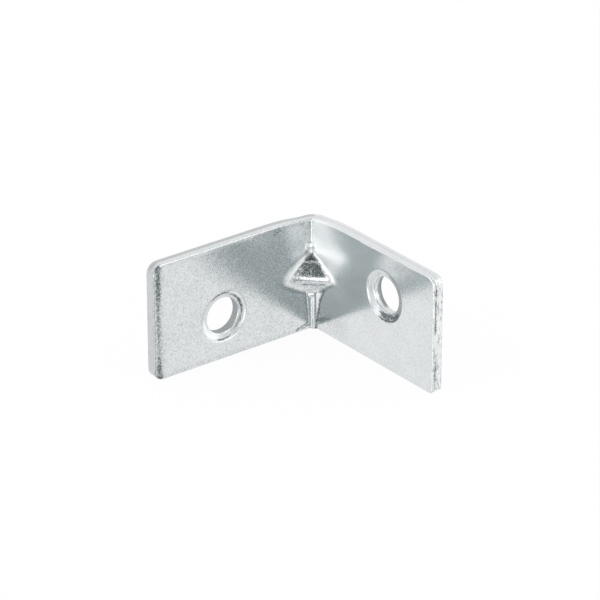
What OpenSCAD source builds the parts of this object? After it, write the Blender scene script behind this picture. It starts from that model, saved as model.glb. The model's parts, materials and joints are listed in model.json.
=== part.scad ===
// Corner brace: one strip of sheet steel folded square, with a countersunk screw hole in each leg
// and a stiffening dart pressed into the fold. It stands on one long edge, +Z is up across the strip.

/* [Strip] */
// Mean outside length of the two legs, mm
leg_length = 25; // [20:0.5:60]
// How far the fold sits from the middle of the strip, mm
fold_shift = 0.6; // [0:0.1:2]
// Width of the strip, which is the height of the standing brace, mm
strip_width = 15.3; // [12:0.1:40]
// Thickness of the sheet, mm
sheet = 1.5; // [1:0.1:2.5]
// Radius of the four corners at the strip's ends, mm
end_corner_radius = 1.2; // [0.5:0.1:4]
// Radius worn on the long edges by the slitting rolls, mm
edge_radius = 0.2; // [0.05:0.05:0.4]

/* [Fold] */
// Inside radius of the fold, mm
fold_radius = 0.5; // [0.3:0.1:2.5]

/* [Screw holes] */
// Diameter of each screw hole, mm
hole_diameter = 4.8; // [3:0.1:7]
// Diameter of the countersink's rim on the inner face, mm
countersink_diameter = 6.5; // [5:0.1:10]
// Depth of the countersink, mm
countersink_depth = 0.5; // [0.2:0.1:0.8]
// Distance of each hole from the outside of the corner, mm
hole_from_corner = 15.2; // [12:0.1:40]
// How far each hole sits off the middle of the strip, up on one leg and down on the other, mm
hole_stagger = 1.95; // [0:0.05:3]

/* [Corner dart] */
// Height of the dart where it leaves the fold, mm
dart_height = 5.8; // [4:0.1:8]
// How far the dart's crest stands in from the inside of the corner, mm
dart_reach = 2.45; // [1.6:0.05:4]
// Radius of the dart's crest, mm
crest_radius = 0.8; // [0.4:0.05:1.2]
// Width over which the dart runs out into the legs, mm
dart_blend = 1.1; // [0.6:0.1:2]
// Sheet left between the dart and the dent behind it, mm
dart_wall = 1.3; // [1:0.05:2.5]
// Radius at the root of the dent, mm
dent_root_radius = 0.3; // [0.2:0.05:0.6]
// Width over which the rim of the dent is rounded, mm
dent_rim = 0.7; // [0.4:0.1:1.5]

/* [Finish] */
// Colour of the zinc plating
zinc = [0.78, 0.81, 0.82];

/* [Hidden] */
$fn = 64;

// Leg with the raised hole runs along +X, leg with the lowered hole runs along -Y
raised_leg = leg_length - fold_shift;
lowered_leg = leg_length + fold_shift;
outer_fold_radius = fold_radius + sheet;
half_width = strip_width / 2;
overshoot = 1;

// Slope of the dart's two faces: the line from the fold that just touches the round crest
crest_centre = dart_reach - crest_radius;
dart_half = dart_height / 2;
face_angle = atan2(dart_half, crest_centre)
    - asin(crest_radius / sqrt(crest_centre * crest_centre + dart_half * dart_half));
dart_apex = dart_half / tan(face_angle);
dent_apex = dart_apex - dart_wall / sin(face_angle);

// Each pressed patch ends a hair under the face that it runs out into, and starts this wide at its tips
run_out_sink = 0.02;
tip_start = 0.12;
patch_rows = 44;
patch_columns = 24;

// Distance in from the corner of a fold of this radius, at q to the side of the middle plane
function fold_line(q, radius) = abs(q) < radius / sqrt(2)
    ? fold_radius * sqrt(2) - sqrt(radius * radius - q * q)
    : abs(q) - (radius - fold_radius) * sqrt(2);

// Distance in from the corner of a ridge with a round crest, at height h from its middle
function ridge_line(h, apex, radius) = abs(h) < radius * cos(face_angle)
    ? apex - radius / sin(face_angle) + sqrt(radius * radius - h * h)
    : apex - abs(h) / tan(face_angle);

// The larger of two values, with the change from one to the other rounded over a width
function rounded_max(a, b, width) = let (overlap = max(width - abs(a - b), 0))
    max(a, b) + overlap * overlap / (4 * width);

// Rows of points over the pressed patch: apex and crest of the ridge, fold radius, run-out width,
// and how far below or above the pressed face the row lies
function patch_height(apex, radius, blend) = (apex - fold_line(0, radius) + blend - tip_start) * tan(face_angle);
function patch_half_width(h, apex, crest, radius, blend) =
    ridge_line(h, apex, crest) + (radius - fold_radius) * sqrt(2) + blend;
function patch_points(apex, crest, radius, blend, pressed, offset) = [
    for (i = [0 : patch_rows]) for (j = [0 : patch_columns])
        let (h = (2 * i / patch_rows - 1) * patch_height(apex, radius, blend))
        let (q = (2 * j / patch_columns - 1) * patch_half_width(h, apex, crest, radius, blend))
        let (plain = fold_line(q, radius))
        [(pressed ? rounded_max(plain, ridge_line(h, apex, crest), blend) : plain) + offset, q, h]
];

// Solid between the pressed face and a plain face offset from it, both on the same grid
module pressed_patch(apex, crest, radius, blend, depth) {
    columns = patch_columns + 1;
    count = (patch_rows + 1) * columns;
    points = concat(
        patch_points(apex, crest, radius, blend, true, -run_out_sink),
        patch_points(apex, crest, radius, blend, false, -depth)
    );
    faces = concat(
        [for (i = [0 : patch_rows - 1]) for (j = [0 : patch_columns - 1])
            let (a = i * columns + j) [a, a + columns, a + columns + 1]],
        [for (i = [0 : patch_rows - 1]) for (j = [0 : patch_columns - 1])
            let (a = i * columns + j) [a, a + columns + 1, a + 1]],
        [for (i = [0 : patch_rows - 1]) for (j = [0 : patch_columns - 1])
            let (a = count + i * columns + j) [a, a + 1, a + columns + 1]],
        [for (i = [0 : patch_rows - 1]) for (j = [0 : patch_columns - 1])
            let (a = count + i * columns + j) [a, a + columns + 1, a + columns]],
        [for (i = [0 : patch_rows - 1])
            let (a = i * columns) [count + a, count + a + columns, a + columns, a]],
        [for (i = [0 : patch_rows - 1])
            let (a = i * columns + patch_columns) [a, a + columns, count + a + columns, count + a]],
        [for (j = [0 : patch_columns - 1]) [count + j, j, j + 1, count + j + 1]],
        [for (j = [0 : patch_columns - 1])
            let (a = patch_rows * columns + j) [count + a + 1, a + 1, a, count + a]]
    );
    polyhedron(points = points, faces = faces);
}

// Section of the strip, thickness along X and width along Y, with its long edges worn round
module strip_section() {
    translate([edge_radius, 0]) square([sheet - 2 * edge_radius, strip_width]);
    translate([0, edge_radius]) square([sheet, strip_width - 2 * edge_radius]);
    for (x = [edge_radius, sheet - edge_radius])
        for (y = [edge_radius, strip_width - edge_radius])
            translate([x, y]) circle(r = edge_radius);
}

// What the shears take off the end of a leg that lies along +X with its outer face on Y = 0
module end_corner_waste(length) {
    translate([0, overshoot, 0])
        rotate([90, 0, 0])
            linear_extrude(sheet + 2 * overshoot)
                for (side = [0, 1])
                    translate([length - end_corner_radius, side * strip_width])
                        mirror([0, side])
                            difference() {
                                translate([0, -overshoot]) square(end_corner_radius + overshoot);
                                translate([0, end_corner_radius]) circle(r = end_corner_radius);
                            }
}

// Screw hole with its countersink, on the Y axis, for a leg whose inner face is at Y = -sheet
module screw_hole() {
    hole_radius = hole_diameter / 2;
    rim_radius = countersink_diameter / 2;
    flare = (rim_radius - hole_radius) / countersink_depth;
    rotate([90, 0, 0]) {
        translate([0, 0, -overshoot]) cylinder(r = hole_radius, h = sheet + 2 * overshoot);
        translate([0, 0, sheet - countersink_depth])
            cylinder(r1 = hole_radius, r2 = rim_radius + flare * overshoot, h = countersink_depth + overshoot);
    }
}

// One leg along +X from the fold, with its outer face on Y = 0
module leg(length, hole_height) {
    difference() {
        translate([outer_fold_radius, -sheet, 0])
            rotate([90, 0, 90])
                linear_extrude(length - outer_fold_radius) strip_section();
        end_corner_waste(length);
        translate([hole_from_corner, 0, hole_height]) screw_hole();
    }
}

// The quarter turn between the legs
module fold() {
    translate([outer_fold_radius, -outer_fold_radius, 0])
        rotate_extrude(angle = 90, start = 90)
            translate([fold_radius, 0]) strip_section();
}

// Puts a pressed patch at the inside of the corner, middle of the strip, facing into the angle
module at_inner_corner() {
    translate([sheet, -sheet, half_width]) rotate([0, 0, -45]) children();
}

module bracket() {
    color(zinc)
        translate([-raised_leg / 2, lowered_leg / 2, 0])
            difference() {
                union() {
                    leg(raised_leg, half_width + hole_stagger);
                    fold();
                    mirror([1, 1, 0]) leg(lowered_leg, half_width - hole_stagger);
                    at_inner_corner()
                        pressed_patch(dart_apex, crest_radius, fold_radius, dart_blend, sheet / sqrt(2));
                }
                at_inner_corner()
                    pressed_patch(dent_apex, dent_root_radius, outer_fold_radius, dent_rim, overshoot);
            }
}

bracket();
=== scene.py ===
"""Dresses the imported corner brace: the pressed strip as one computed surface, its zinc plating, and the stage."""

import json
import math
from types import SimpleNamespace

import bmesh
import bpy
import numpy as np
from bpy.props import FloatProperty, FloatVectorProperty, PointerProperty
from mathutils import Matrix, Vector


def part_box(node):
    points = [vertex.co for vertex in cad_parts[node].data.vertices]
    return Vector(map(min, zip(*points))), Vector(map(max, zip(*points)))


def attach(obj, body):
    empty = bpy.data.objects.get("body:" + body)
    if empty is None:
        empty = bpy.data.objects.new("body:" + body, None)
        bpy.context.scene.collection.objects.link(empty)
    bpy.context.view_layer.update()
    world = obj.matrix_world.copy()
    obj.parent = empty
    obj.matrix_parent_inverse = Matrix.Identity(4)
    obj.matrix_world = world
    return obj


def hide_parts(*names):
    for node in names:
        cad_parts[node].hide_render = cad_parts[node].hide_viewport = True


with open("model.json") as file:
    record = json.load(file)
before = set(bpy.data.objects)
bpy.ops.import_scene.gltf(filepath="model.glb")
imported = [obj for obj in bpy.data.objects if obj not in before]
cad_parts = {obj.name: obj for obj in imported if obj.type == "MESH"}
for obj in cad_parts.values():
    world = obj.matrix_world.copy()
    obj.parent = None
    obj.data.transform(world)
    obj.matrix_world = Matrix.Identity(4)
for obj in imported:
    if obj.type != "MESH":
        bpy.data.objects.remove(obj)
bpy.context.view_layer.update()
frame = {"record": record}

bl_info = {
    "name": "Pressed corner brace",
    "version": (1, 0, 0),
    "blender": (4, 5, 0),
    "location": "View3D > Sidebar > Brace",
    "description": "Makes a zinc-plated corner brace from one folded and pressed strip, with its stage",
    "category": "Add Mesh",
}

MM = 0.001
ROOT_TWO = math.sqrt(2)
LOW, HIGH = (np.array(corner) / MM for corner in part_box("bracket"))
WIDTH = HIGH[2] - LOW[2]
MIDDLE = WIDTH / 2
# Thickness of the solid's sheet, in mm
SHEET = 1.5
MOUNTS = {mount["name"]: mount for mount in frame["record"]["mounts"]}


# Sizes and colours that a user may change


def a_length(name, description, mm):
    """A length, given in mm."""
    return FloatProperty(name=name, description=description, default=mm * MM, unit="LENGTH")


def an_angle(name, description, degrees):
    """An angle, given in degrees."""
    return FloatProperty(name=name, description=description, default=math.radians(degrees), subtype="ANGLE")


def a_share(name, description, value):
    """A share from 0 to 1."""
    return FloatProperty(name=name, description=description, default=value, min=0, max=1, subtype="FACTOR")


def a_colour(name, description, value):
    """A colour as red, green and blue from 0 to 1."""
    return FloatVectorProperty(
        name=name, description=description, default=value, size=3, min=0, max=1, subtype="COLOR"
    )


class StripSizes(bpy.types.PropertyGroup):
    """The strip and its fold"""

    sheet: a_length("Sheet", "Thickness of the sheet", SHEET)
    inner_arris: a_length("Inner edge", "How far the edges are rolled over on the inside", 0.17)
    outer_arris: a_length("Outer edge", "How far the edges are rolled over on the back", 0.16)
    fold_top: a_length("Fold above the dart", "Inside radius of the fold above the dart", 0.42)
    fold_under_dart: a_length("Fold under the dart", "Inside radius of the fold just under the dart", 0.9)
    fold_foot: a_length("Fold at the foot", "Inside radius of the fold at the lower edge", 0.35)
    fold_drift: a_length("Drift", "How far the fold sits off the middle, towards the lowered hole", 0.3)
    drawn_edge: a_length("Drawn edge", "How far the upper edge is drawn down at the fold", 0.36)
    fold_back: a_length("Back of the fold", "Outside radius of the fold", 2.0)


class DartSizes(bpy.types.PropertyGroup):
    """The dart pressed into the fold, and the dent behind it"""

    height: a_length("Height", "Height of the dart on the fold", 5.8)
    reach: a_length("Reach", "How far the crest stands in from the corner", 2.45)
    crest: a_length("Crest", "Radius of the crest", 0.8)
    pulled: a_share("Pull", "How much longer the upper face is than the lower", 0.24)
    wall: a_length("Wall", "Sheet left between dart and dent", 1.3)
    root: a_length("Dent root", "Radius at the root of the dent", 0.3)
    rim: a_length("Dent rim", "Width of the dent's rounded rim", 0.8)
    run_out: a_length("Run-out", "Width over which the dart runs out into the legs", 1.5)
    raised_run_out: a_length(
        "Raised run-out", "Width over which the dart runs out into the leg with the raised hole", 0.72
    )


class HoleSizes(bpy.types.PropertyGroup):
    """The two countersunk screw holes"""

    rim: a_length("Rim", "Radius of the countersink at the inner face", 3.22)
    sink: a_length("Depth", "Depth of the countersink", 0.36)
    lip: a_length("Lip", "Rounding of the countersink's rim", 0.2)
    burr: a_length("Burr", "How far the punch's burr narrows the hole", 0.07)


class Finish(bpy.types.PropertyGroup):
    """The zinc plating"""

    zinc: a_colour("Zinc", "Colour of the bright plating", (0.768, 0.787, 0.797))
    # The dull colour also paints shade on the lowered leg's end face and along the back of its top edge.
    dull: a_colour("Dull zinc", "Colour in the pores and on torn edges", (0.47, 0.50, 0.51))
    # The burnished colour serves the torn ends and the painted highlights round the dart and in the lowered hole.
    burnish_and_highlight: a_colour("Burnished", "Colour where the die rubbed the plating", (0.93, 0.94, 0.94))
    # The soot colour paints the dark marks and also painted shade: dark reflections on the dart and round the holes,
    # and shade in the crease above the dart.
    soot: a_colour("Soot", "Colour of the dirt left in creases", (0.16, 0.175, 0.18))
    gloss: a_share("Roughness", "Roughness of the flat faces", 0.13)
    torn: a_share("Torn roughness", "Roughness of the sheared edges", 0.42)
    grain: a_length("Grain", "Size of the plating's grain", 0.2)


class Stage(bpy.types.PropertyGroup):
    """Floor, light and camera"""

    floor: a_colour("Floor", "Colour of the floor", (0.93, 0.93, 0.93))
    glow: a_share("Lift", "Share of the floor that shows as plain white", 0.94)
    azimuth: an_angle("Azimuth", "Camera's place round the brace", 52.2)
    height: an_angle("Height", "Camera's angle above the floor", 26.2)
    distance: a_length("Distance", "Camera's distance", 461)
    field: an_angle("Field", "Camera's angle of view", 9.12)
    aim_right: a_length("Aim across", "How far to the right of the corner the camera looks", -1.68)
    aim_up: a_length("Aim up", "How far above the corner the camera looks", -3.5)


# The pressed surface


# A place on the flat strip is u along it from the inside of the corner, positive on the leg with the raised hole, v
# up from the foot, and depth from the inner face, all in mm. On the fold, h is the height above the strip's middle
# and q the distance to the side of the corner's middle plane.


def rise(x, start, end):
    """Goes from 0 at start to 1 at end, level at both: three squares of the share of the way less two cubes. It
    falls with x where end is below start."""
    share = np.clip((x - start) / (end - start), 0, 1)
    return share * share * (3 - 2 * share)


def bell(x, width):
    """A bell curve, 1 at x = 0 and e to the minus 1 at x = width."""
    return np.exp(-((x / width) ** 2))


def rounded_max(a, b, width):
    """The larger of a and b, plus the square of how far they are within width of each other over four widths."""
    overlap = np.maximum(width - np.abs(a - b), 0)
    return np.maximum(a, b) + overlap**2 / (4 * width)


def fold_line(q, radius, inner):
    """Distance in from the corner at q: a circle of the radius whose centre lies inner times root two from the
    corner, and beyond its tangent points the straight legs at 45 degrees."""
    turn = inner * ROOT_TWO - np.sqrt(np.maximum(radius**2 - q**2, 0))
    return np.where(np.abs(q) < radius / ROOT_TWO, turn, np.abs(q) - (radius - inner) * ROOT_TWO)


def ridge_line(h, apex, radius, slope):
    """Distance in of a ridge at height h: two straight faces at the slope angle that would meet at apex, with a
    circle of the radius between their tangent points."""
    nose = apex - radius / math.sin(slope) + np.sqrt(np.maximum(radius**2 - h**2, 0))
    return np.where(np.abs(h) < radius * math.cos(slope), nose, apex - np.abs(h) / math.tan(slope))


def dart_lines(dart):
    """Angle of the dart's faces, which leave the fold half a height away and touch the round crest, and the
    distance in at which they would meet."""
    centre, half = dart.reach - dart.crest, dart.height / 2
    slope = math.atan2(half, centre) - math.asin(dart.crest / math.hypot(centre, half))
    return slope, half / math.tan(slope)


# The fold's radius grows over this height above the foot and changes to the upper one between these heights
SWELL = 5.2
CHANGE = (-1.0, 1.0)
# Height from which the dart's upper face is pulled longer
PULL_START = 0.5
# How the dart runs out: its width at the tips, where the ridge stands in by TIP_REACH, and from there to the full
# width over the dart's reach less TIP_TAKEN. Below the middle it starts sooner by LOW_SOONER and widens over less
# by LOW_LESS. The last two give where one leg's form and the lower form turn into the other, by q and by h
TIP_WIDTH, TIP_REACH, TIP_TAKEN, LOW_SOONER, LOW_LESS = 0.06, 0.3, 0.5, 0.8, 0.3
SIDE_CHANGE, LOW_CHANGE = (-0.5, 0.5), (0, -1)
# Lines across the dart's faces: height, place up the strip and half-width
RIBS = ((0.07, 2.05, 0.15), (-0.05, -1.04, 0.16))
# The fold's drift: heights between which it takes its upper form, its loss above the dart with the heights of that,
# and how it fades to the side there, as share and width of a short and of a long fall
DRIFT_RISE, DRIFT_LOSS, DRIFT_LOSS_RISE = (-0.4, 4.2), 0.2, (2.5, 5.5)
SHORT_FALL, LONG_FALL = (0.4, 0.8), (0.75, 1.6)
# The drift's half-width to the side below the dart: at the foot, and how much more under the dart
DRIFT_FOOT, DRIFT_WIDENS = 0.3, 0.2
# Knots pinched up by the punch: height, then place and half-width to the side and up
KNOTS = (
    (0.15, (-0.72, 0.17), (3.55, 0.24)),
    (0.16, (0.06, 0.2), (3.85, 0.22)),
    (0.10, (0.32, 0.13), (3.35, 0.2)),
    (0.16, (-0.3, 0.26), (-2.9, 0.24)),
)
# The groove round the upper left knot: depth, centre, how much wider than high, radius and half-width
GROOVE_DEPTH, GROOVE_CENTRE, GROOVE_WIDER, GROOVE_RADIUS, GROOVE_WIDTH = 0.16, (-0.36, 3.7), 1.3, 0.34, 0.09


def inner_face(q, h, strip, dart):
    """Distance in of the inner face: the fold, whose radius swells under the dart and whose line drifts off the
    middle, joined to the dart's ridge by a rounded maximum that is narrower on the raised hole's side. Bell curves
    add the ribs, knots and groove."""
    under = rise(h, -MIDDLE, SWELL - MIDDLE)
    lower = strip.fold_foot + (strip.fold_under_dart - strip.fold_foot) * under
    fold = lower + (strip.fold_top - lower) * rise(h, *CHANGE)

    slope, apex = dart_lines(dart)
    ridge = ridge_line(h - dart.pulled * np.maximum(h - PULL_START, 0), apex, dart.crest, slope)
    full = dart.run_out + (dart.raised_run_out - dart.run_out) * rise(q, *SIDE_CHANGE)
    low = rise(h, *LOW_CHANGE)
    start = TIP_REACH - LOW_SOONER * low
    width = TIP_WIDTH + (full - TIP_WIDTH) * rise(ridge, start, start + dart.reach - TIP_TAKEN - LOW_LESS * low)
    ridge = ridge + sum(height * bell(h - up, half) for height, up, half in RIBS)

    upper = rise(h, *DRIFT_RISE)
    drift = strip.fold_drift * (1 - DRIFT_LOSS * rise(h, *DRIFT_LOSS_RISE))
    past = np.maximum(q, 0)
    fading = SHORT_FALL[0] * np.exp(-past / SHORT_FALL[1]) + LONG_FALL[0] / np.cosh(past / LONG_FALL[1])
    drawn = drift * ((1 - upper) * bell(past, DRIFT_FOOT + DRIFT_WIDENS * under) + upper * fading)
    face = rounded_max(fold_line(q + drawn, fold, fold) + drawn, ridge, width)

    knots = sum(height * bell(q - side, wide) * bell(h - up, tall) for height, (side, wide), (up, tall) in KNOTS)
    away = np.hypot((q - GROOVE_CENTRE[0]) / GROOVE_WIDER, h - GROOVE_CENTRE[1])
    return face + knots - GROOVE_DEPTH * bell(away - GROOVE_RADIUS, GROOVE_WIDTH)


def back_face(q, h, strip, dart):
    """Distance in of the back: the outside of the fold joined to the dent, which follows the dart one wall away."""
    slope, apex = dart_lines(dart)
    plain = fold_line(q, strip.fold_back, strip.fold_back - strip.sheet)
    return rounded_max(plain, ridge_line(h, apex - dart.wall / math.sin(slope), dart.root, slope), dart.rim)


# Where the upper edge is drawn down: middle and half-width along the strip, share of its width from which it
# starts, and how much more the back is drawn than the inner face
DRAW_PLACE, DRAW_WIDTH, DRAW_START, DRAW_BACK = -0.4, 2.9, 0.6, 0.25


def press(u, v, depth, strip, dart):
    """Place in space, in mm, of a place on the flat strip. It is carried to the inner face and to the back, which
    face each other along the sheet's normal, and lies between the two in proportion to its depth."""
    h = v - MIDDLE
    inner_radius = strip.fold_back - strip.sheet
    q_in = u / ROOT_TWO
    stretch = np.clip(q_in / (inner_radius / ROOT_TWO), -1, 1)
    q_back = q_in + stretch * strip.sheet / ROOT_TWO
    s_in = inner_face(q_in, h, strip, dart)
    s_back = back_face(q_back, h, strip, dart)
    share = depth / strip.sheet
    s = s_in + (s_back - s_in) * share
    q = q_in + (q_back - q_in) * share
    drawn = strip.drawn_edge * (1 + DRAW_BACK * share) * bell(u - DRAW_PLACE, DRAW_WIDTH)
    drawn = drawn * rise(v, DRAW_START * WIDTH, WIDTH)
    x = LOW[0] + strip.sheet + (s + q) / ROOT_TWO
    y = HIGH[1] - strip.sheet + (q - s) / ROOT_TWO
    return np.stack([x, y, v - drawn], axis=-1)


def flat_places(sheet):
    """Places on the flat strip, from the frame's box and mounts: u of its two ends, then centre and radius of its
    two holes, the lowered leg's first."""
    ends = (-(HIGH[1] - LOW[1] - sheet), HIGH[0] - LOW[0] - sheet)
    lowered, raised = MOUNTS["lowered_screw_hole"], MOUNTS["raised_screw_hole"]
    low = np.array([lowered["pos_m"][1] / MM - (HIGH[1] - sheet), lowered["pos_m"][2] / MM])
    high = np.array([raised["pos_m"][0] / MM - (LOW[0] + sheet), raised["pos_m"][2] / MM])
    return ends, ((low, lowered["dims"]["r_mm"]), (high, raised["dims"]["r_mm"]))


# Marks on the strip: dark marks, painted shade and painted highlights


# Straight dark marks on the inner face: how dark, one end, the other end and half-width
STROKES = (
    (1.3, (-0.7, 1.05), (-2.7, 0.4), 0.11),
    (1.2, (-0.4, 0.7), (-1.7, 0.35), 0.09),
    (1.3, (-5.1, 14.75), (-6.1, 14.3), 0.09),
    (0.28, (1.2, 1.9), (5.5, 2.2), 1.3),
    (0.35, (-17.3, 4.0), (-17.1, 9.4), 0.08),
    (0.6, (-0.5, 5.0), (-0.45, 0.9), 0.09),
    (0.9, (2.1, 5.9), (1.35, 4.3), 0.2),
    (1.0, (1.35, 4.3), (0.5, 0.3), 0.26),
)
# Round marks about a hole: how strong, radius, half-width, then middle and reach of the arc in degrees. Painted shade
# and dark reflections about the lowered and the raised hole, and painted highlights about the lowered one
LOWERED_SHADE = (
    (1.2, 3.05, 0.14, 98, 34),
    (1.0, 2.78, 0.1, 36, 52),
    (0.5, 3.36, 0.07, 40, 70),
    (1.3, 3.1, 0.09, -91, 27),
    (0.75, 2.75, 0.28, -10, 80),
    (0.3, 3.38, 0.06, 165, 50),
)
RAISED_SHADE = (
    (0.9, 2.9, 0.36, -65, 55),
    (1.1, 3.25, 0.09, -72, 50),
    (1.1, 2.74, 0.1, -88, 36),
    (0.8, 2.5, 0.1, -92, 42),
    (0.35, 2.75, 0.2, 150, 60),
)
LOWERED_HIGHLIGHT = ((1.2, 2.98, 0.3, -147, 42), (1.0, 3.36, 0.1, -85, 45), (0.9, 3.16, 0.09, 15, 80))


def stroke(u, v, start, end, width):
    """A thin mark along a straight line between two places: a bell curve of the distance to it."""
    start, along = np.array(start), np.subtract(end, start)
    share = np.clip(((u - start[0]) * along[0] + (v - start[1]) * along[1]) / (along @ along), 0, 1)
    return bell(np.hypot(u - start[0] - share * along[0], v - start[1] - share * along[1]), width)


def arcs(u, v, centre, marks):
    """Thin round marks about a hole: the sum of bell curves of the distance to each circle, times a smooth window
    of the angle about its middle, anticlockwise from the right-hand side."""
    du, dv = u - centre[0], v - centre[1]
    away, around = np.hypot(du, dv), np.degrees(np.arctan2(dv, du))
    total = 0
    for strength, radius, width, middle, reach in marks:
        turn = np.abs((around - middle + 180) % 360 - 180)
        total = total + strength * bell(away - radius, width) * rise(turn, reach, reach / 2)
    return total


# In the next four functions each number is a place or a width in mm, and the factor before a mark says how dark or
# how bright it is.


def fold_marks_and_shade(u, v, h, on_dart):
    """Dark marks and painted shade on the inner face near the fold, as a sum: a painted dark reflection as a lens on
    the lower face of the dart, a scuff, a painted dark reflection over the whole of its upper face and its crest, the
    strokes, painted shade in the crease above it and two loops round the knots."""
    # Painted dark reflection: a thin lens under the dart's crest
    lens = bell(h + 0.96, 0.14) * rise(np.abs(u / ROOT_TWO + 0.1), 1.4, 0.8)
    scuff = rise(np.abs(u + 0.68), 0.82, 0.57) * rise(np.abs(h - 2.68), 0.58, 0.43)
    # Painted dark reflection over the dart's upper face and its crest
    upper_face = on_dart * (0.65 * rise(h, 0.4, 0.6) + 0.3 * bell(h - 0.1, 0.3))
    strokes = sum(dark * stroke(u, v, start, end, width) for dark, start, end, width in STROKES)
    # Painted shade in the crease above the dart
    crease = 0.4 * bell(u + 1.5, 1.3) * rise(h, 3.2, 5.2)
    loops = bell(np.hypot((u + 0.5) / 1.2, h - 3.75) - 0.46, 0.1)
    loops = loops + bell(np.hypot(u - 0.25, (h - 3.6) / 1.3) - 0.3, 0.08)
    uneven = 0.8 + 0.2 * np.sin(7 * u + 5 * h)
    return 0.95 * lens + scuff + upper_face + strokes + crease + 1.4 * loops * uneven


def inner_edge_darkening(u, v, lowered_end):
    """Darker on the inner face along the edges: a band at the lowered leg's end, darker at both its corners, and thin
    lines along the foot and the top."""
    band = bell(u - lowered_end - 0.65, 0.52) * (0.8 + 0.3 * (rise(v, 9.0, 12.0) + rise(v, 3.6, 1.2)))
    long_edges = bell(v - 0.35, 0.35) + bell(v - WIDTH + 0.45, 0.14)
    return 0.95 * band + np.where(u < 0, 0.25, 0.08) * long_edges


def end_dark_lines(u, v, depth, raised_end):
    """Dark lines on the raised leg's torn end: a thin dark line inside the edge over part of its height, and a softer
    one at the foot and at the top."""
    line = 1.2 * bell(depth - 0.45, 0.15) * rise(v, 7.8, 8.6) * rise(v, 12.6, 11.8)
    soft = 0.7 * bell(depth - 0.5, 0.3) * (bell(v - 2.8, 2.4) + bell(v - 13.4, 1.1))
    return (line + soft) * rise(u, raised_end - 0.3, raised_end - 0.15)


def painted_sheen(u, h, reach, ridge):
    """Painted highlight round the dart: a round patch on the raised hole's leg, which runs on up the fold, and a band
    beside the dart's upper face on both legs."""
    patch = 1.25 * bell(np.hypot(u - 2.7, h - 3.5), 2.9) * rise(u, -0.3, 0.5)
    above = 0.9 * bell(u - 1.0, 1.9) * rise(h, 3.0, 6.0) * rise(u, -0.2, 0.4)
    beside = bell(reach - np.maximum(ridge, 0) - 0.35, 0.6) * rise(h, -0.6, 0.2) * rise(h, 5.2, 3.2)
    return patch + above + np.where(u < 0, 0.6, 0.5) * beside


def marks_and_painted_light(u, v, depth, strip, dart):
    """The marks as values at places of the strip: dark marks with painted shade and painted dark reflections, and
    painted highlights, from 0 to 1, and how coarse the plating's grain is, which is more on the dart and less on the
    back. Marks on the inner face fade out over the first part of the sheet, and those in the holes a little deeper."""
    (lowered_end, raised_end), ((low, _), (high, _)) = flat_places(strip.sheet)
    h, skin = v - MIDDLE, 0.3 * strip.sheet
    inner, shallow = rise(depth, skin, 0), rise(depth, skin + 0.25, skin)
    slope, apex = dart_lines(dart)
    ridge, reach = ridge_line(h, apex, dart.crest, slope), np.abs(u) / ROOT_TWO
    on_dart = rise(ridge - reach, -0.25, 0.15)

    # Dark marks with painted shade and painted dark reflections near the fold, and darker bands along the edges
    soot = (fold_marks_and_shade(u, v, h, on_dart) + inner_edge_darkening(u, v, lowered_end)) * inner
    soot = soot + 1.3 * end_dark_lines(u, v, depth, raised_end)
    # Painted dark reflections round both holes
    soot = soot + (arcs(u, v, low, LOWERED_SHADE) + arcs(u, v, high, RAISED_SHADE)) * shallow
    # Painted highlight round the dart, and painted highlights in the lowered hole
    burnish = np.clip(painted_sheen(u, h, reach, ridge), 0, 1) * inner * (1 - on_dart)
    burnish = burnish + arcs(u, v, low, LOWERED_HIGHLIGHT) * shallow
    coarse = np.where(u < 0, 1.0, 0.5) * (0.5 + 0.5 * inner) + on_dart * inner
    return {"soot": np.clip(soot, 0, 1), "burnish": np.clip(burnish, 0, 1), "coarse": coarse}


# Patches of the flat strip, each a grid of places


def spaced(start, *runs):
    """Runs of evenly spaced values from start on, each given as the value it ends at and its count of steps."""
    values = [np.array([float(start)])]
    for last, steps in runs:
        values.append(np.linspace(values[-1][-1], last, steps + 1)[1:])
    return np.concatenate(values)


# Side of the squares that become the sheared corners, and shares of the way out to their edges
SQUARE = 1.7
EDGE_SHARES = spaced(0, (0.86, 7), (0.975, 2), (1, 1))
# Radii of the sheared corners at the foot and at the top, for the lowered leg's end and the raised leg's
END_RADII = ((1.35, 1.45), (0.65, 1.25))
# Half the length of the patch round a hole and its steps, and the steps from there to the end's squares
HOLE_HALF, HOLE_STEPS, END_STEPS = 4.6, 24, 11
# Shares of the way from a hole's rim to the sides of its patch
RAY_SHARES = np.concatenate([[0, 0.012, 0.04], np.linspace(0.1, 1, 11)])
# Steps along the strip from the fold on: the place that each run reaches and its count, closer where the surface
# turns most, and the count of the last run up to the hole's patch
FOLD_STEPS, LAST_STEPS = ((0.36, 9), (0.75, 5), (4.6, 34), (6.2, 8)), 8
# Steps across the strip between the corner squares: height above its middle that each run reaches and its count,
# closer where the dart is, and the count of the last run
LINE_STEPS, LAST_LINES = ((-3.7, 10), (-1.2, 22), (1.2, 26), (3.9, 26)), 10
# Angles over a rounded edge, the distance within which vertices are welded, and one that counts as none
ROUNDING, WELD, HAIR = np.linspace(0, math.pi / 2, 6), 0.0005, 1e-9


def quads(rows, columns, start, closed=False, turned=False):
    """Corner numbers of a grid's quads: each vertex with its neighbours in the next row and column. A closed grid
    joins its last column to its first, and a turned one has its corners the other way round."""
    row, column = np.meshgrid(np.arange(rows - 1), np.arange(columns if closed else columns - 1), indexing="ij")
    this, beside = row * columns, (column + 1) % columns
    corners = [this + column, this + beside, this + columns + beside, this + columns + column]
    if turned:
        corners.reverse()
    return start + np.stack(corners, axis=-1).reshape(-1, 4)


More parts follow.
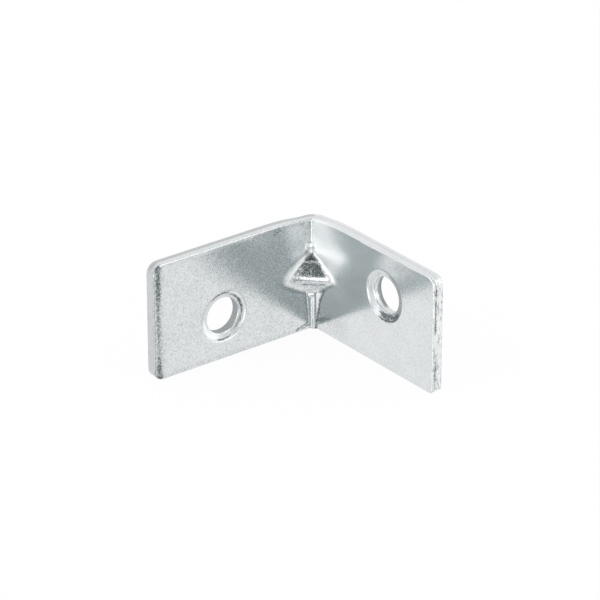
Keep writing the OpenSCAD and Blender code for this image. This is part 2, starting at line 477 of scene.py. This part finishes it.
def corner_path(p, size, radius):
    """A square's outer corner sheared round: up one arm, round the turn and back along the other arm, by length
    as p goes from 0 to 1. Gives the place in the square and the outward normal."""
    arm, turn = size - radius, radius * math.pi / 2
    length = p * (2 * arm + turn)
    angle = np.clip((length - arm) / radius, 0, math.pi / 2)
    normal = np.stack([np.cos(angle), np.sin(angle)], axis=-1)
    place = arm + radius * normal
    place[..., 1] += np.minimum(length - arm, 0)
    place[..., 0] -= np.maximum(length - arm - turn, 0)
    return place, normal


def square_to_corner(a, b, size, radius, inset):
    """Carries a square onto its round-cornered form: each point keeps its share of the way out along the line to
    the corner path, pulled in by the inset."""
    out = np.maximum(a, b)
    ratio = np.divide(np.minimum(a, b), out, out=np.zeros_like(out), where=out > 0)
    place, normal = corner_path(np.where(a >= b, ratio / 2, 1 - ratio / 2), size, radius)
    return out[..., None] * (place - inset * normal)


def across(inset):
    """Lines across the strip: corner squares at both edges, closer lines where the dart is."""
    foot = SQUARE - EDGE_SHARES[::-1] * (SQUARE - inset)
    top = WIDTH - SQUARE + EDGE_SHARES * (SQUARE - inset)
    steps = ((MIDDLE + height, count) for height, count in LINE_STEPS)
    body = spaced(SQUARE, *steps, (WIDTH - SQUARE, LAST_LINES))
    return np.concatenate([foot[:-1], body, top[1:]])


def end_patch(start, end, radii, inset):
    """One end of the strip as u and v: straight lines up to the corner squares, which are carried onto the sheared
    corners. radii are those of the corners at the foot and at the top."""
    straight = abs(end - start) - SQUARE
    column = np.concatenate(
        [np.linspace(0, straight, END_STEPS + 1)[:-1], straight + EDGE_SHARES * (SQUARE - inset)]
    )
    line = across(inset)
    u, v = np.meshgrid(column, line, indexing="ij")
    for edge, radius, corner, way in (
        (SQUARE - line, radii[0], SQUARE, -1),
        (line - (WIDTH - SQUARE), radii[1], WIDTH - SQUARE, 1),
    ):
        rows, lines = column >= straight - HAIR, edge >= -HAIR
        a, b = np.meshgrid(column[rows] - straight, edge[lines], indexing="ij")
        place = square_to_corner(a / (SQUARE - inset), b / (SQUARE - inset), SQUARE, radius, inset)
        u[np.ix_(rows, lines)] = straight + place[..., 0]
        v[np.ix_(rows, lines)] = corner + way * place[..., 1]
    return start + math.copysign(1, end - start) * u, v


def strip_edge(ends, columns):
    """The strip's sheared outline, once round from the foot: place and outward normal of each edge vertex, with
    the same spacing as the patches' edges. It is put together from straight runs and the corner paths."""
    line = across(0)
    body = line[(line > SQUARE + HAIR) & (line < WIDTH - SQUARE - HAIR)]
    shares = np.concatenate([EDGE_SHARES / 2, 1 - EDGE_SHARES[::-1][1:] / 2])

    def straight(u, v, normal):
        """Places along one side, with that side's normal."""
        place = np.stack(np.broadcast_arrays(u, v), -1).astype(float)
        return place, np.broadcast_to(np.array(normal, float), place.shape)

    def corner(end, side, leaving):
        """The round corner at one end (-1 or 1) and side (-1 foot, 1 top), run through from or towards the end."""
        radius = END_RADII[max(end, 0)][max(side, 0)]
        place, normal = corner_path(shares if leaving else shares[::-1], SQUARE, radius)
        centre = np.array([ends[max(end, 0)] - end * SQUARE, SQUARE if side < 0 else WIDTH - SQUARE])
        turn = np.array([end, side])
        return centre + turn * place, turn * normal

    runs = (
        (straight(columns, 0, (0, -1)), slice(None)),
        (corner(1, -1, leaving=False), slice(1, None)),
        (straight(ends[1], body, (1, 0)), slice(None)),
        (corner(1, 1, leaving=True), slice(None)),
        (straight(columns[::-1], WIDTH, (0, 1)), slice(1, None)),
        (corner(-1, 1, leaving=False), slice(1, None)),
        (straight(ends[0], body[::-1], (-1, 0)), slice(None)),
        (corner(-1, -1, leaving=True), slice(-1)),
    )
    return (np.concatenate([run[part][kept] for run, kept in runs]) for part in (0, 1))


def patch_sides(span, inset):
    """Places round the sides of a hole's patch, counted from its foot, where span is its columns."""
    line = across(inset)
    foot = np.stack([span, 0 * span + line[0]], -1)
    far = np.stack([0 * line + span[-1], line], -1)
    top = np.stack([span[::-1], 0 * span + line[-1]], -1)
    near = np.stack([0 * line + span[0], line[::-1]], -1)
    return np.concatenate([side[:-1] for side in (foot, far, top, near)])


def ray_ways(centre, span):
    """Unit directions from a hole's centre to the sides of its patch without an inset. Both faces and the walls
    take them, so that they meet at the rims."""
    away = patch_sides(span, 0.0) - centre
    return away / np.linalg.norm(away, axis=1, keepdims=True)


def hole_patch(centre, radius, span, inset):
    """Rays from the rim of a hole to the sides of its patch, as u and v: places along each ray in proportion,
    closer at the rim, with the rays as columns."""
    rim = centre + radius * ray_ways(centre, span)
    grid = rim + RAY_SHARES[:, None, None] * (patch_sides(span, inset) - rim)
    return grid[..., 0], grid[..., 1]


def hole_profile(hole, strip, radius):
    """Radius and depth down a screw hole: rounded rim, countersink, a worn corner, the bore, which the burr narrows
    a little, and its rounded mouth at the back."""
    # The worn corner's width and its reach above and below the countersink's floor, and the mouth's flare, in mm,
    # and the share of the sheet at which the mouth starts
    corner, above, below, mouth_flare, mouth_start = 0.06, 0.03, 0.07, 0.1, 0.92
    bore = radius - hole.burr
    turn = np.linspace(0, 1, 6)
    rim = np.stack([hole.rim + hole.lip * (1 - turn) ** 2, 0.5 * hole.lip * turn**2], -1)
    down = np.linspace(0, 1, 16)[1:]
    lip, floor = 0.5 * hole.lip, hole.sink - above
    sink = np.stack([hole.rim + (bore + corner - hole.rim) * down, lip + (floor - lip) * down], -1)
    ease = np.linspace(0, 1, 5)[1:]
    throat = np.stack([bore + corner * (1 - ease) ** 2, floor + (above + below) * ease], -1)
    wall = np.linspace(hole.sink + below, mouth_start * strip.sheet, 8)[1:]
    wall = np.stack([bore + 0 * wall, wall], -1)
    out = ROUNDING[1:]
    mouth_depth = strip.sheet * (mouth_start + (1 - mouth_start) * np.sin(out))
    mouth = np.stack([bore + mouth_flare * (1 - np.cos(out)), mouth_depth], -1)
    return np.concatenate([rim, sink, throat, wall, mouth])


# The two torn ends take their waves from stretches this far from each other. The raised leg's end bulges here
APART = 40
BULGE = (7.0, 1.9)


def torn_edge(along, depth, sheet):
    """How far a sheared end stands back, in mm: a smooth lip, a low ridge under it, then a step down to a rough
    torn face whose waves are sums of sines along the edge and through the sheet, less a bulge."""
    share = depth / sheet
    torn = rise(share, 0.22, 0.34) * rise(share, 1.0, 0.9)
    waves = np.sin(2.1 * along + 0.7) + 0.8 * np.sin(5.3 * along + 3 * share)
    waves = waves + 0.6 * np.sin(9.7 * along - 4 * share + 1.9)
    waves = waves + np.sin(17.0 * along + 6 * share) * np.sin(11.0 * along + 9 * share + 0.4)
    bulge = bell(along - APART - BULGE[0], BULGE[1])
    return torn * (0.15 - 0.1 * bulge + 0.012 * waves) + 0.02 * bell(share - 0.27, 0.05)


class Patchwork:
    """The strip's patches gathered into one mesh: vertices in mm, quads, and named values at the vertices."""

    def __init__(self, strip, dart):
        self.strip, self.dart = strip, dart
        self.vertices, self.faces, self.layers, self.count = [], [], {}, 0

    def add(self, u, v, depth, torn=0.0, bored=0.0, **how):
        """Presses a grid of places into shape and adds it, with how torn it is, and how dull it is from a hole's wall
        and from the painted shade of the edge band.
        """
        u, v, depth = np.broadcast_arrays(u, v, depth)
        self.vertices.append(press(u, v, depth, self.strip, self.dart).reshape(-1, 3))
        marks = {"torn": torn, "bored": bored} | marks_and_painted_light(u, v, depth, self.strip, self.dart)
        for name, values in marks.items():
            self.layers.setdefault(name, []).append(np.broadcast_to(values, u.shape).reshape(-1))
        self.faces.append(quads(*u.shape, self.count, **how))
        self.count += u.size

    def joined(self):
        """All patches as one: vertices, quads and layers."""
        layers = {name: np.concatenate(values) for name, values in self.layers.items()}
        return np.concatenate(self.vertices), np.concatenate(self.faces), layers


def edge_band(patches, ends, columns):
    """The band round the strip's outline, from the inner face over its rolled edge, down the sheared side and over
    the outer edge to the back: each place stands back from the outline along its normal."""
    strip = patches.strip
    place, normal = strip_edge(ends, columns)
    wall = np.linspace(strip.inner_arris, strip.sheet - strip.outer_arris, 13)[1:-1]
    inner_back, outer_back = strip.inner_arris * (1 - np.sin(ROUNDING)), strip.outer_arris * (1 - np.cos(ROUNDING))
    inner_depth = strip.inner_arris * (1 - np.cos(ROUNDING))
    outer_depth = strip.sheet - strip.outer_arris * (1 - np.sin(ROUNDING))
    back = np.concatenate([inner_back, 0 * wall, outer_back])[:, None]
    depth = np.concatenate([inner_depth, wall, outer_depth])[:, None]

    along, up = place[:, 1] + APART * np.sign(normal[:, 0]), rise(normal[:, 1], 0, 1)
    sheared = np.abs(normal[:, 0]) * (1 - back / max(strip.inner_arris, strip.outer_arris))
    roughly = np.where(normal[:, 0] > 0, 1.0, 0.2)
    back = back + sheared * roughly * torn_edge(along, depth, strip.sheet)
    # Painted shade: the lowered leg's end face darker, and the back half of its top edge darker. The middle of every
    # top edge is a little darker too.
    rim_darkening_and_shade = 0.4 * rise(normal[:, 0], 0, -1) + 0.2 * up * bell(depth - 0.8, 0.2)
    far_side = rise(depth, 0.5, 1.0) * rise(depth, strip.sheet, strip.sheet - 0.3)
    rim_darkening_and_shade = rim_darkening_and_shade + 0.6 * up * (place[:, 0] < 0) * far_side
    torn = rise(sheared, 0, 1) * roughly
    u, v = (place[:, axis] - back * normal[:, axis] for axis in (0, 1))
    patches.add(u, v, depth, torn=torn, bored=rim_darkening_and_shade, closed=True, turned=True)


def hole_wall(patches, centre, span, profile, sink, raised):
    """The walls of a screw hole: its profile carried round. Past the countersink the wall is torn and dull, the
    raised hole's more torn and dull only at its mouth on the side of the fold."""
    away = ray_ways(centre, span)
    ring, depth = profile[:, 0:1], profile[:, 1:2]
    wall = rise(depth, sink, sink + 0.12)
    torn, bored = (0.9, 0.05) if raised else (0.3, 1.1)
    mouth = 1.1 * rise(depth, 0.8, 1.1) * rise(away[:, 0], -0.2, -0.6) if raised else 0.0
    u, v = (centre[axis] + ring * away[:, axis] for axis in (0, 1))
    patches.add(u, v, depth, torn=torn * wall, bored=0.12 + bored * wall + mouth, closed=True)


def strip_mesh(strip, dart, hole):
    """The whole strip, pressed into shape: both faces, each as a middle part, two hole patches and two ends, the
    walls of the holes and the band round the edge. Gives vertices in mm, quads and layers."""
    ends, holes = flat_places(strip.sheet)
    lowered_side, raised_side = holes[0][0][0] + HOLE_HALF, holes[1][0][0] - HOLE_HALF
    middle = spaced(0, *FOLD_STEPS, (raised_side, LAST_STEPS))
    middle = np.concatenate([-middle[::-1][:-1], middle])
    middle[0] = lowered_side
    spans = [np.linspace(at[0] - HOLE_HALF, at[0] + HOLE_HALF, HOLE_STEPS + 1) for at, _ in holes]
    starts = [at[0] + math.copysign(HOLE_HALF, end) for end, (at, _) in zip(ends, holes)]
    runs = [
        np.linspace(start, end - math.copysign(SQUARE, end), END_STEPS + 1) for start, end in zip(starts, ends)
    ]
    columns = np.concatenate([runs[0][::-1], spans[0][1:], middle[1:], spans[1][1:], runs[1][1:]])

    patches = Patchwork(strip, dart)
    profiles = [hole_profile(hole, strip, radius) for _, radius in holes]
    for depth, inset, outward in ((0.0, strip.inner_arris, False), (strip.sheet, strip.outer_arris, True)):
        u, v = np.meshgrid(middle, across(inset), indexing="ij")
        patches.add(u, v, depth, turned=not outward)
        for index, (centre, _) in enumerate(holes):
            opening = profiles[index][-1 if outward else 0, 0]
            u, v = hole_patch(centre, opening, spans[index], inset)
            patches.add(u, v, depth, closed=True, turned=not outward)
            u, v = end_patch(starts[index], ends[index], END_RADII[index], inset)
            patches.add(u, v, depth, turned=(index == 0) == outward)
    for index, (centre, _) in enumerate(holes):
        hole_wall(patches, centre, spans[index], profiles[index], hole.sink, raised=index == 1)
    edge_band(patches, ends, columns)
    return patches.joined()


def mesh_object(name, vertices, faces, layers):
    """A smooth-shaded mesh at the origin, welded where patches meet, with one named value for each vertex and layer."""
    mesh = bpy.data.meshes.new(name)
    mesh.from_pydata(vertices * MM, [], faces)
    for layer, values in layers.items():
        mesh.attributes.new(layer, "FLOAT", "POINT").data.foreach_set("value", np.asarray(values, np.float32))
    welded = bmesh.new()
    welded.from_mesh(mesh)
    bmesh.ops.remove_doubles(welded, verts=welded.verts, dist=WELD * MM)
    welded.to_mesh(mesh)
    welded.free()
    mesh.shade_smooth()
    mesh.validate()
    piece = bpy.data.objects.new(name, mesh)
    bpy.context.scene.collection.objects.link(piece)
    return piece


# Shader maths


def plug(tree, slot, value):
    """Links a wire to a node's input, or sets the input to a plain value, where a colour may leave out its alpha."""
    if isinstance(value, Wire):
        tree.links.new(value.socket, slot)
    elif slot.type == "RGBA" and len(value) == 3:
        slot.default_value = (*value, 1.0)
    else:
        slot.default_value = value


class Wire:
    """A value in a node tree. Sums, differences and products of wires and numbers add the Math nodes for them."""

    def __init__(self, tree, socket):
        self.tree, self.socket = tree, socket

    def maths(self, operation, first, second):
        """The result of a Math node on two wires or numbers."""
        node = self.tree.nodes.new("ShaderNodeMath")
        node.operation = operation
        plug(self.tree, node.inputs[0], first)
        plug(self.tree, node.inputs[1], second)
        return Wire(self.tree, node.outputs[0])

    def __add__(self, other):
        return self.maths("ADD", self, other)

    def __radd__(self, other):
        return self.maths("ADD", other, self)

    def __mul__(self, other):
        return self.maths("MULTIPLY", self, other)

    def __rmul__(self, other):
        return self.maths("MULTIPLY", other, self)

    def __sub__(self, other):
        return self.maths("SUBTRACT", self, other)

    def __rsub__(self, other):
        return self.maths("SUBTRACT", other, self)

    def at_least(self, other):
        """The larger of this and the other."""
        return self.maths("MAXIMUM", self, other)

    def at_most(self, other):
        """The smaller of this and the other."""
        return self.maths("MINIMUM", self, other)


class Bench:
    """A material or world being wired up."""

    def __init__(self, owner):
        owner.use_nodes = True
        self.tree = owner.node_tree
        self.tree.nodes.clear()

    def node(self, kind, settings=None, outputs=(0,), **sockets):
        """Adds a node of any type: its settings first, then the values or wires of its inputs, by name with _ for a
        space or by number after _. Gives a wire from each output asked for, alone if there is one."""
        node = self.tree.nodes.new(kind)
        for key, value in (settings or {}).items():
            if key == "stops":
                ramp_stops(node.color_ramp, value)
            else:
                setattr(node, key, value)
        for key, value in sockets.items():
            plug(self.tree, node.inputs[int(key[1:]) if key[0] == "_" else key.replace("_", " ")], value)
        wires = [Wire(self.tree, node.outputs[each]) for each in outputs]
        return wires[0] if len(wires) == 1 else wires

    def ramp(self, value, *stops):
        """A grey ramp: value in, brightness out, through the given (place, brightness) stops."""
        return self.node("ShaderNodeValToRGB", {"stops": stops}, Fac=value)

    def mix(self, factor, first, second):
        """Two colours mixed by a factor from 0 to 1."""
        return self.node("ShaderNodeMix", {"data_type": "RGBA"}, (2,), _0=factor, _6=first, _7=second)

    def noise(self, where, size, detail, rough, stretch=(1, 1, 1)):
        """Noise with features of about the given size in mm, from 0 to 1 about one half."""
        spread = self.node("ShaderNodeMapping", Vector=where, Scale=tuple(s / (size * MM) for s in stretch))
        return self.node("ShaderNodeTexNoise", Vector=spread, Scale=1.0, Detail=detail, Roughness=rough)


def ramp_stops(ramp, stops):
    """Sets a ramp's stops, each a place and a brightness."""
    while len(ramp.elements) < len(stops):
        ramp.elements.new(1.0)
    for element, (place, grey) in zip(ramp.elements, stops):
        element.position = place
        element.color = (grey, grey, grey, 1.0)


# How wide the plating's clouds, flecks, specks and shear marks are, in mm, and how flat the shear marks lie
CLOUD, FLECK, SPECK, SHEAR, SHEAR_STRETCH = 3.4, 0.34, 0.27, 0.3, (1, 1, 0.4)


def zinc_plating(finish):
    """Bright zinc over cold rolled sheet. Its colour goes from bright to dull with the pores of the grain, the clouds,
    the torn edges and the painted shade on the edge band, then to the dark colour where the layers give dark marks,
    painted shade and painted dark reflections, and to the burnished colour where they give painted highlights.
    Roughness and relief are sums of grain, flecks and shear marks, each times its layer and a factor for how much it
    counts."""
    material = bpy.data.materials.new("zinc_plated_steel")
    bench = Bench(material)
    where = bench.node("ShaderNodeTexCoord", outputs=("Object",))
    torn, bored, soot, burnish, coarse = (
        bench.node("ShaderNodeAttribute", {"attribute_name": name}, ("Fac",))
        for name in ("torn", "bored", "soot", "burnish", "coarse")
    )
    grain = bench.noise(where, finish.grain / MM, 3.0, 0.65)
    cloud = bench.noise(where, CLOUD, 3.0, 0.55)
    fleck = bench.noise(where, FLECK, 2.0, 0.6)
    shears = bench.noise(where, SHEAR, 4.0, 0.7, SHEAR_STRETCH)
    specks = bench.noise(where, SPECK, 3.0, 0.7)

    on_dart = (coarse - 1.0).at_least(0.0)
    pores = bench.ramp(grain, (0.34, 1.0), (0.57, 0.0))
    patchy = bench.ramp(specks + on_dart * (fleck - specks), (0.43, 0.0), (0.55, 1.0))
    nicks = torn * bench.ramp(shears, (0.4, 1.0), (0.48, 0.0))
    matt = bench.ramp(specks, (0.5, 0.0), (0.68, 1.0))
    # The bore layer brings the painted shade of the edge band into the dull share.
    dull = pores * coarse * (1.0 - burnish) * 0.72 + (cloud - 0.5) * 0.4 + bored * 0.7 + nicks * 0.8
    # Dark marks, painted shade and painted dark reflections, and a share of the bore layer
    marks_and_shade_amount = soot * patchy * 0.9 + (soot - 0.55).at_least(0.0) * 1.4 + bored * 0.3

    colour = bench.mix(torn * 0.9, finish.zinc, finish.burnish_and_highlight)
    colour = bench.mix(dull.at_least(0.0).at_most(1.0), colour, finish.dull)
    colour = bench.mix(marks_and_shade_amount.at_most(1.0), colour, finish.soot)
    # Painted highlights
    colour = bench.mix(burnish, colour, finish.burnish_and_highlight)
    rough = finish.gloss + matt * coarse * 0.1 + torn * (finish.torn - finish.gloss)
    rough = rough + bored * 0.2 + burnish * 0.28 + marks_and_shade_amount * 0.1
    relief = grain * coarse * 2.2 + fleck * on_dart * 8.0 + torn * shears * 5.0 + soot * fleck * 1.5
    bump = bench.node("ShaderNodeBump", Strength=0.5, Distance=0.012 * MM, Height=relief)
    surface = bench.node("ShaderNodeBsdfPrincipled", Base_Color=colour, Metallic=1.0, Roughness=rough, Normal=bump)
    bench.node("ShaderNodeOutputMaterial", outputs=(), Surface=surface)
    return material


# The stage


# Lamps: name, azimuth and height in degrees, distance and side in metres, and power in watts
LAMPS = (("key_light", -5, 38, 0.9, 0.5, 1.2), ("side_light", 112, 22, 0.9, 0.4, 0.8))
# Parts of the room that only the metal sees: azimuth and height of the middle, angle within which the part is full
# and past which it is gone, in degrees, and how much brighter or darker than white it is
WINDOW = ((30, -6, 16, 29), 1.2)
DARK_FRONT = ((60, -36, 14, 26), -0.56)
DARK_ABOVE = ((45, 60, 24, 31), -0.79)
# Colour of the room's dark parts, and how bright the room is as plain light
DARK_TINT = (0.87, 1.0, 0.99)
SOFT_LIGHT = 0.95
FLOOR_RADIUS, FLOOR_SIDES = 900.0, 64
RAYS = ("Is Camera Ray", "Is Glossy Ray", "Is Transmission Ray")


def stage_floor(stage):
    """A pale round floor, hidden from the metal's reflections. The camera sees most of it as plain white, and the rest
    takes the shadow.
    """
    angle = np.linspace(0, 2 * math.pi, FLOOR_SIDES, endpoint=False)
    rim = np.stack([np.cos(angle), np.sin(angle), 0 * angle], -1) * FLOOR_RADIUS
    side = np.arange(FLOOR_SIDES)
    faces = np.stack([0 * side, 1 + side, 1 + (side + 1) % FLOOR_SIDES], -1)
    mesh = bpy.data.meshes.new("floor")
    mesh.from_pydata(np.concatenate([[[0, 0, 0]], rim]) * MM, [], faces)
    floor = bpy.data.objects.new("floor", mesh)
    bpy.context.scene.collection.objects.link(floor)
    material = bpy.data.materials.new("pale_floor")
    bench = Bench(material)
    camera_ray, glossy_ray, through_ray = bench.node("ShaderNodeLightPath", outputs=RAYS)
    seen = camera_ray.at_least(glossy_ray).at_least(through_ray)
    matt = bench.node("ShaderNodeBsdfDiffuse", Color=stage.floor)
    white = bench.node("ShaderNodeEmission", Color=(1, 1, 1), Strength=1.0)
    shown = bench.node("ShaderNodeMixShader", _0=seen * stage.glow, _1=matt, _2=white)
    bench.node("ShaderNodeOutputMaterial", outputs=(), Surface=shown)
    mesh.materials.append(material)
    floor.visible_glossy = False


def toward(azimuth, height):
    """Direction from the brace to a place round it and above it; azimuth 0 is in front, along -Y."""
    return Vector((math.sin(azimuth) * math.cos(height), -math.cos(azimuth) * math.cos(height), math.sin(height)))


def lamp(name, azimuth, height, distance, side, power):
    """A soft square lamp that faces the brace."""
    light = bpy.data.lights.new(name, "AREA")
    light.energy, light.size = power, side
    placed = bpy.data.objects.new(name, light)
    way = toward(math.radians(azimuth), math.radians(height))
    placed.matrix_world = Matrix.Translation(way * distance) @ way.to_track_quat("Z", "Y").to_matrix().to_4x4()
    bpy.context.scene.collection.objects.link(placed)


def surroundings():
    """The room: white to the camera and, for the metal, white with a soft window and two darker parts. A part's
    level is a ramp of the cosine of the angle from its middle."""
    world = bpy.data.worlds.new("white_room")
    bpy.context.scene.world = world
    bench = Bench(world)
    where = bench.node("ShaderNodeTexCoord", outputs=("Generated",))
    x, y, z = bench.node("ShaderNodeSeparateXYZ", outputs=("X", "Y", "Z"), Vector=where)

    def part(azimuth, height, full, gone):
        """A soft round part of the room: 1 within one angle of its middle and 0 past the other."""
        way = toward(math.radians(azimuth), math.radians(height))
        level = x * way.x + y * way.y + z * way.z
        return bench.ramp(level, (math.cos(math.radians(gone)), 0.0), (math.cos(math.radians(full)), 1.0))

    window, front, above = (part(*place) for place, _ in (WINDOW, DARK_FRONT, DARK_ABOVE))
    camera_ray, glossy, through_ray = bench.node("ShaderNodeLightPath", outputs=RAYS)
    plain = camera_ray.at_least(through_ray)
    metal = (1.0 + window * WINDOW[1] + front * DARK_FRONT[1] + above * DARK_ABOVE[1]).at_least(0.05)
    strength = glossy * metal + plain + (1.0 - glossy) * (1.0 - plain) * SOFT_LIGHT
    tinted = glossy * (front + above - window).at_least(0.0).at_most(1.0)
    tint = bench.mix(tinted, (1, 1, 1), DARK_TINT)
    background = bench.node("ShaderNodeBackground", Color=tint, Strength=strength)
    bench.node("ShaderNodeOutputWorld", outputs=(), Surface=background)


def camera(stage):
    """A long lens at the photograph's angle, aimed at a place beside the brace's corner and turned upright."""
    back = toward(stage.azimuth, stage.height)
    right = Vector((math.cos(stage.azimuth), math.sin(stage.azimuth), 0))
    up = back.cross(right)
    corner = Vector(((LOW[0] + SHEET) * MM, (HIGH[1] - SHEET) * MM, HIGH[2] / 2 * MM))
    target = corner + right * stage.aim_right + up * stage.aim_up
    lens = bpy.data.cameras.new("camera")
    lens.angle = stage.field
    lens.clip_start, lens.clip_end = 0.05, 20
    placed = bpy.data.objects.new("camera", lens)
    turn = Matrix((right, up, back)).transposed().to_4x4()
    placed.matrix_world = Matrix.Translation(target + back * stage.distance) @ turn
    bpy.context.scene.collection.objects.link(placed)
    bpy.context.scene.camera = placed


# Operators, panel and main


def own_properties(group):
    """The properties that a group declares itself."""
    return [value for value in group.bl_rna.properties if value.identifier not in ("rna_type", "name")]


def in_mm(group):
    """A property group's values as plain numbers, its lengths in mm."""
    values = {}
    for each in own_properties(group):
        values[each.identifier] = getattr(group, each.identifier) / (MM if each.unit == "LENGTH" else 1)
    return SimpleNamespace(**values)


class BRACE_OT_strip(bpy.types.Operator):
    """Makes the pressed strip, with its fold, dart, dent, screw holes and zinc plating"""

    bl_idname = "brace.strip"
    bl_label = "Pressed strip"

    def execute(self, context):
        scene = context.scene
        strip, dart, hole = (in_mm(group) for group in (scene.brace_strip, scene.brace_dart, scene.brace_hole))
        piece = mesh_object("pressed_strip", *strip_mesh(strip, dart, hole))
        piece.data.materials.append(zinc_plating(scene.brace_finish))
        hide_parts("bracket")
        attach(piece, "root")
        return {"FINISHED"}


class BRACE_OT_stage(bpy.types.Operator):
    """Lays the floor and sets the lamps, the room and the camera"""

    bl_idname = "brace.stage"
    bl_label = "Stage"

    def execute(self, context):
        stage = context.scene.brace_stage
        context.scene.view_settings.view_transform = "Standard"
        stage_floor(stage)
        surroundings()
        for each in LAMPS:
            lamp(*each)
        camera(stage)
        return {"FINISHED"}


class BRACE_PT_sidebar(bpy.types.Panel):
    """Lists the sizes, the finish and the operators"""

    bl_idname = "BRACE_PT_sidebar"
    bl_label = "Corner brace"
    bl_space_type = "VIEW_3D"
    bl_region_type = "UI"
    bl_category = "Brace"

    def draw(self, context):
        for name in GROUPS:
            values = getattr(context.scene, name)
            box = self.layout.box()
            box.label(text=values.bl_rna.description)
            for each in own_properties(values):
                box.prop(values, each.identifier)
        for operator in (BRACE_OT_strip, BRACE_OT_stage):
            self.layout.operator(operator.bl_idname)


GROUPS = {
    "brace_strip": StripSizes,
    "brace_dart": DartSizes,
    "brace_hole": HoleSizes,
    "brace_finish": Finish,
    "brace_stage": Stage,
}
CLASSES = (*GROUPS.values(), BRACE_OT_strip, BRACE_OT_stage, BRACE_PT_sidebar)


def register():
    """Makes the classes known and hangs each group of values on the scene."""
    for each in CLASSES:
        bpy.utils.register_class(each)
    for name, group in GROUPS.items():
        setattr(bpy.types.Scene, name, PointerProperty(type=group))


def unregister():
    """Takes the groups and the classes away again."""
    for name in GROUPS:
        delattr(bpy.types.Scene, name)
    for each in reversed(CLASSES):
        bpy.utils.unregister_class(each)


def main():
    """Makes everything through the operators."""
    register()
    bpy.ops.brace.strip()
    bpy.ops.brace.stage()


if __name__ == "__main__":
    main()
